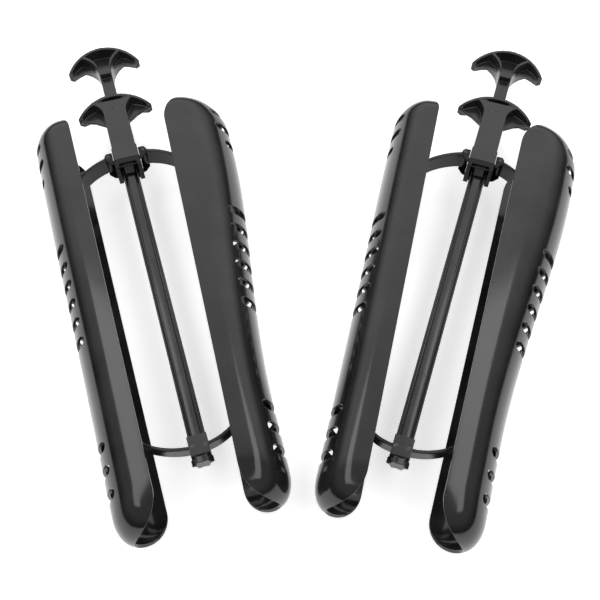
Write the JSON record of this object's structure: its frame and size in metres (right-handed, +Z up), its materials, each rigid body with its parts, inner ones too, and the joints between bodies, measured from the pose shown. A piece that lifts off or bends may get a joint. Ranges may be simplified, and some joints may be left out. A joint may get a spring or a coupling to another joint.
{
  "type": "boot shaper pair",
  "caption": "Spring boot shapers: squeeze the two handles on the rod and the bowed arms draw the vented half-shells inward; let go and they press the boot shaft back to shape and let it air.",
  "frame": {"origin": "middle of the pair's footprint, on the surface it lies on", "axes": "+Z up from that surface, +Y towards the handles, +X across the pair from the left shaper to the right one"},
  "size_m": [0.3838, 0.3788, 0.0584],
  "materials": {
    "shell_plastic": "glossy black moulding",
    "grip_plastic": "satin-gloss black moulding",
    "collar_plastic": "plain black moulding",
    "bow_plastic": "smooth black spring plastic",
    "pin_steel": "blackened steel"
  },
  "bodies": {
    "left_rod_body": {"left_push_rod": "grip_plastic", "left_lower_hub": "grip_plastic", "left_hub_pin_shin": "pin_steel", "left_hub_pin_calf": "pin_steel"},
    "left_slider_body": {"left_finger_grip": "grip_plastic", "left_upper_collar": "collar_plastic", "left_collar_pin_shin": "pin_steel", "left_collar_pin_calf": "pin_steel"},
    "left_upper_bow_shin_body": {"left_upper_bow_shin": "bow_plastic"},
    "left_lower_bow_shin_body": {"left_lower_bow_shin": "bow_plastic"},
    "left_shin_shell_body": {"left_shin_shell": "shell_plastic", "left_upper_bracket_shin": "shell_plastic", "left_lower_bracket_shin": "shell_plastic", "left_upper_shell_pin_shin": "pin_steel", "left_lower_shell_pin_shin": "pin_steel"},
    "left_upper_bow_calf_body": {"left_upper_bow_calf": "bow_plastic"},
    "left_lower_bow_calf_body": {"left_lower_bow_calf": "bow_plastic"},
    "left_calf_shell_body": {"left_calf_shell": "shell_plastic", "left_upper_bracket_calf": "shell_plastic", "left_lower_bracket_calf": "shell_plastic", "left_upper_shell_pin_calf": "pin_steel", "left_lower_shell_pin_calf": "pin_steel"},
    "right_rod_body": {"right_push_rod": "grip_plastic", "right_lower_hub": "grip_plastic", "right_hub_pin_shin": "pin_steel", "right_hub_pin_calf": "pin_steel"},
    "right_slider_body": {"right_finger_grip": "grip_plastic", "right_upper_collar": "collar_plastic", "right_collar_pin_shin": "pin_steel", "right_collar_pin_calf": "pin_steel"},
    "right_upper_bow_shin_body": {"right_upper_bow_shin": "bow_plastic"},
    "right_lower_bow_shin_body": {"right_lower_bow_shin": "bow_plastic"},
    "right_shin_shell_body": {"right_shin_shell": "shell_plastic", "right_upper_bracket_shin": "shell_plastic", "right_lower_bracket_shin": "shell_plastic", "right_upper_shell_pin_shin": "pin_steel", "right_lower_shell_pin_shin": "pin_steel"},
    "right_upper_bow_calf_body": {"right_upper_bow_calf": "bow_plastic"},
    "right_lower_bow_calf_body": {"right_lower_bow_calf": "bow_plastic"},
    "right_calf_shell_body": {"right_calf_shell": "shell_plastic", "right_upper_bracket_calf": "shell_plastic", "right_lower_bracket_calf": "shell_plastic", "right_upper_shell_pin_calf": "pin_steel", "right_lower_shell_pin_calf": "pin_steel"}
  },
  "joints": [
    {"name": "left_squeeze", "type": "slide", "parent": "left_rod_body", "child": "left_slider_body", "axis": [-0.29, 0.957, 0], "range_m": [0, 0.018], "stiffness_N_per_m": 450, "springref_m": -0.004},
    {"name": "left_upper_bow_shin_hinge", "type": "hinge", "parent": "left_slider_body", "child": "left_upper_bow_shin_body", "pos_m": [-0.14006, 0.08244, 0.029], "axis": [0, 0, 1], "range_deg": [0, 14.02]},
    {"name": "left_shin_shell_hinge", "type": "hinge", "parent": "left_upper_bow_shin_body", "child": "left_shin_shell_body", "pos_m": [-0.16303, 0.04252, 0.029], "axis": [0, 0, 1], "range_deg": [-14.02, 0]},
    {"name": "left_lower_bow_shin_hinge", "type": "hinge", "parent": "left_rod_body", "child": "left_lower_bow_shin_body", "pos_m": [-0.06614, -0.13079, 0.029], "axis": [0, 0, 1], "range_deg": [-17.88, 0]},
    {"name": "left_upper_bow_calf_hinge", "type": "hinge", "parent": "left_slider_body", "child": "left_upper_bow_calf_body", "pos_m": [-0.11613, 0.08969, 0.029], "axis": [0, 0, 1], "range_deg": [-17.09, 0]},
    {"name": "left_calf_shell_hinge", "type": "hinge", "parent": "left_upper_bow_calf_body", "child": "left_calf_shell_body", "pos_m": [-0.07649, 0.07093, 0.029], "axis": [0, 0, 1], "range_deg": [0, 17.09]},
    {"name": "left_lower_bow_calf_hinge", "type": "hinge", "parent": "left_rod_body", "child": "left_lower_bow_calf_body", "pos_m": [-0.05925, -0.1287, 0.029], "axis": [0, 0, 1], "range_deg": [0, 21.25]},
    {"name": "right_unit_lift", "type": "slide", "parent": "left_rod_body", "child": "right_rod_body", "axis": [0, 0, 1], "range_m": [0, 0.15]},
    {"name": "right_squeeze", "type": "slide", "parent": "right_rod_body", "child": "right_slider_body", "axis": [0.3133, 0.9496, 0], "range_m": [0, 0.018], "stiffness_N_per_m": 450, "springref_m": -0.004},
    {"name": "right_upper_bow_shin_hinge", "type": "hinge", "parent": "right_slider_body", "child": "right_upper_bow_shin_body", "pos_m": [0.11521, 0.08709, 0.029], "axis": [0, 0, 1], "range_deg": [0, 14.28]},
    {"name": "right_shin_shell_hinge", "type": "hinge", "parent": "right_upper_bow_shin_body", "child": "right_shin_shell_body", "pos_m": [0.06938, 0.06453, 0.029], "axis": [0, 0, 1], "range_deg": [-14.28, 0]},
    {"name": "right_lower_bow_shin_hinge", "type": "hinge", "parent": "right_rod_body", "child": "right_lower_bow_shin_body", "pos_m": [0.05301, -0.12985, 0.029], "axis": [0, 0, 1], "range_deg": [-23.77, 0]},
    {"name": "right_upper_bow_calf_hinge", "type": "hinge", "parent": "right_slider_body", "child": "right_upper_bow_calf_body", "pos_m": [0.13896, 0.07925, 0.029], "axis": [0, 0, 1], "range_deg": [-18.57, 0]},
    {"name": "right_calf_shell_hinge", "type": "hinge", "parent": "right_upper_bow_calf_body", "child": "right_calf_shell_body", "pos_m": [0.15295, 0.04412, 0.029], "axis": [0, 0, 1], "range_deg": [0, 18.57]},
    {"name": "right_lower_bow_calf_hinge", "type": "hinge", "parent": "right_rod_body", "child": "right_lower_bow_calf_body", "pos_m": [0.05985, -0.1321, 0.029], "axis": [0, 0, 1], "range_deg": [0, 21.45]}
  ],
  "couplings": [
    {"joint": "left_upper_bow_shin_hinge", "follows": "left_squeeze", "rad_per_m": 13.135},
    {"joint": "left_shin_shell_hinge", "follows": "left_squeeze", "rad_per_m": -13.135},
    {"joint": "left_lower_bow_shin_hinge", "follows": "left_squeeze", "rad_per_m": -16.807},
    {"joint": "left_upper_bow_calf_hinge", "follows": "left_squeeze", "rad_per_m": -16.059},
    {"joint": "left_calf_shell_hinge", "follows": "left_squeeze", "rad_per_m": 16.059},
    {"joint": "left_lower_bow_calf_hinge", "follows": "left_squeeze", "rad_per_m": 20.009},
    {"joint": "right_upper_bow_shin_hinge", "follows": "right_squeeze", "rad_per_m": 13.384},
    {"joint": "right_shin_shell_hinge", "follows": "right_squeeze", "rad_per_m": -13.384},
    {"joint": "right_lower_bow_shin_hinge", "follows": "right_squeeze", "rad_per_m": -22.407},
    {"joint": "right_upper_bow_calf_hinge", "follows": "right_squeeze", "rad_per_m": -17.459},
    {"joint": "right_calf_shell_hinge", "follows": "right_squeeze", "rad_per_m": 17.459},
    {"joint": "right_lower_bow_calf_hinge", "follows": "right_squeeze", "rad_per_m": 20.197}
  ]
}
